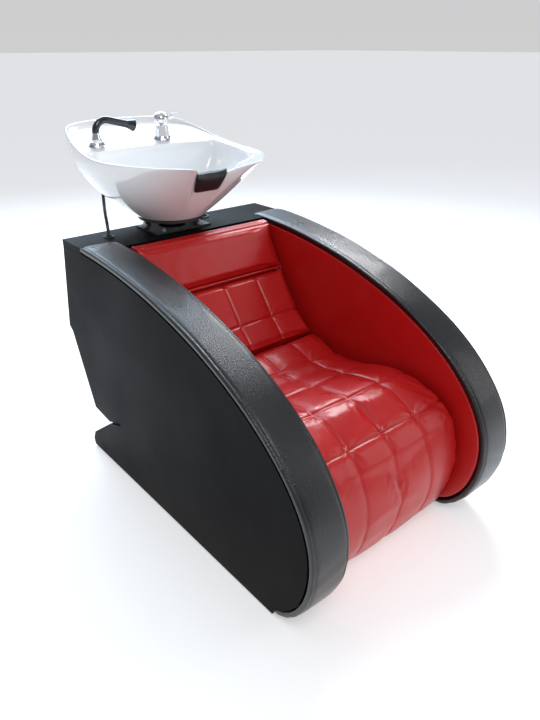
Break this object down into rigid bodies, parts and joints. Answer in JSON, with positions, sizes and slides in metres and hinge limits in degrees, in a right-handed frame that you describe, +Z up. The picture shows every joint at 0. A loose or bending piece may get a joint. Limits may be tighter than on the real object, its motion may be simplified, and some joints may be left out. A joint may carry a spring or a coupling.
{
  "type": "shampoo backwash unit",
  "caption": "Salon shampoo backwash unit: red tufted lounge seat between two curved black arms, with a tilting white ceramic bowl, mixer and hand shower on a rear plumbing cabinet.",
  "frame": {"origin": "floor level, at the centre of the unit's box", "axes": "+Y from the sitter's feet to the bowl, +Z up, -X is the sitter's right"},
  "size_m": [0.7, 1.264, 0.9835],
  "materials": {
    "black_leatherette": "satin leatherette with a fine ribbed grain",
    "bare_board": "bare plywood and softwood",
    "red_leatherette": "glossy red leatherette",
    "zinc_steel": "zinc plated",
    "black_steel": "black powder coat",
    "black_rubber": "matte",
    "chrome": "polished",
    "white_glaze": "glossy white glaze",
    "white_plastic": "moulded white plastic",
    "brass": "turned brass",
    "black_plastic": "glossy black",
    "grey_plastic": "moulded grey",
    "hose_black": "smooth black hose",
    "braid": "steel braid"
  },
  "bodies": {
    "chair": {"right_outer_panel": "black_leatherette", "left_outer_panel": "black_leatherette", "right_inner_panel": "black_leatherette", "left_inner_panel": "black_leatherette", "right_arm_battens": "bare_board", "left_arm_battens": "bare_board", "right_arm_band": "black_leatherette", "left_arm_band": "black_leatherette", "right_lining": "red_leatherette", "left_lining": "red_leatherette", "seat_board": "bare_board", "front_board": "bare_board", "seat_cushion": "red_leatherette", "front_pad": "red_leatherette", "back_board": "bare_board", "back_cushion": "red_leatherette", "head_pad": "red_leatherette", "cross_rails": "bare_board", "arm_bolts": "zinc_steel", "floor_glides": "black_rubber", "front_floor_strap": "black_steel", "rear_floor_strap": "black_steel", "kick_board": "black_leatherette", "plumbing_board": "bare_board", "cabinet_top": "black_leatherette", "right_cabinet_side": "black_leatherette", "left_cabinet_side": "black_leatherette", "rear_panel": "black_leatherette", "cabinet_floor": "bare_board", "frame_leaves": "zinc_steel", "hinge_pins": "zinc_steel", "tilt_base": "black_steel", "tilt_bolts": "zinc_steel", "tilt_pins": "zinc_steel", "friction_washers": "black_rubber", "waste_hose": "white_plastic", "waste_outlet": "white_plastic", "supply_hoses": "braid", "inlet_tails": "brass", "shower_hose": "hose_black", "hose_grommets": "black_rubber"},
    "hatch": {"service_hatch": "black_leatherette", "hatch_knob": "chrome", "hatch_leaves": "zinc_steel"},
    "bowl": {"tilt_saddle": "black_steel", "foot_gasket": "black_rubber", "ceramic_bowl": "white_glaze", "neck_rest": "black_rubber", "waste_flange": "chrome", "waste_nut": "white_plastic", "mixer_body": "chrome", "mixer_nut": "brass", "shower_socket": "chrome"},
    "strainer": {"strainer": "chrome"},
    "mixer_ball": {"mixer_spindle": "chrome"},
    "mixer_handle": {"mixer_lever": "chrome"},
    "handset": {"handset_collar": "chrome", "handset_handle": "black_plastic", "handset_face": "grey_plastic", "handset_hose": "hose_black"}
  },
  "joints": [
    {"name": "bowl_tilt", "type": "hinge", "parent": "chair", "child": "bowl", "pos_m": [-0.03, 0.34, 0.693], "axis": [1, 0, 0], "range_deg": [-8, 8], "deforming": ["waste_hose", "supply_hoses", "shower_hose"]},
    {"name": "hatch_open", "type": "hinge", "parent": "chair", "child": "hatch", "pos_m": [0, 0.3516, 0.1488], "axis": [-1, 0, 0], "range_deg": [0, 68]},
    {"name": "strainer_lift", "type": "slide", "parent": "bowl", "child": "strainer", "axis": [0, 0, 1], "range_m": [0, 0.04]},
    {"name": "mixer_turn", "type": "hinge", "parent": "bowl", "child": "mixer_ball", "pos_m": [0.03, 0.46, 0.961], "axis": [0, 0, 1], "range_deg": [-45, 45]},
    {"name": "mixer_lift", "type": "hinge", "parent": "mixer_ball", "child": "mixer_handle", "pos_m": [0.03, 0.46, 0.961], "axis": [0.2079, -0.9781, 0], "range_deg": [0, 22]},
    {"name": "handset_lift", "type": "slide", "parent": "bowl", "child": "handset", "axis": [0, 0, 1], "range_m": [0, 0.11]}
  ]
}
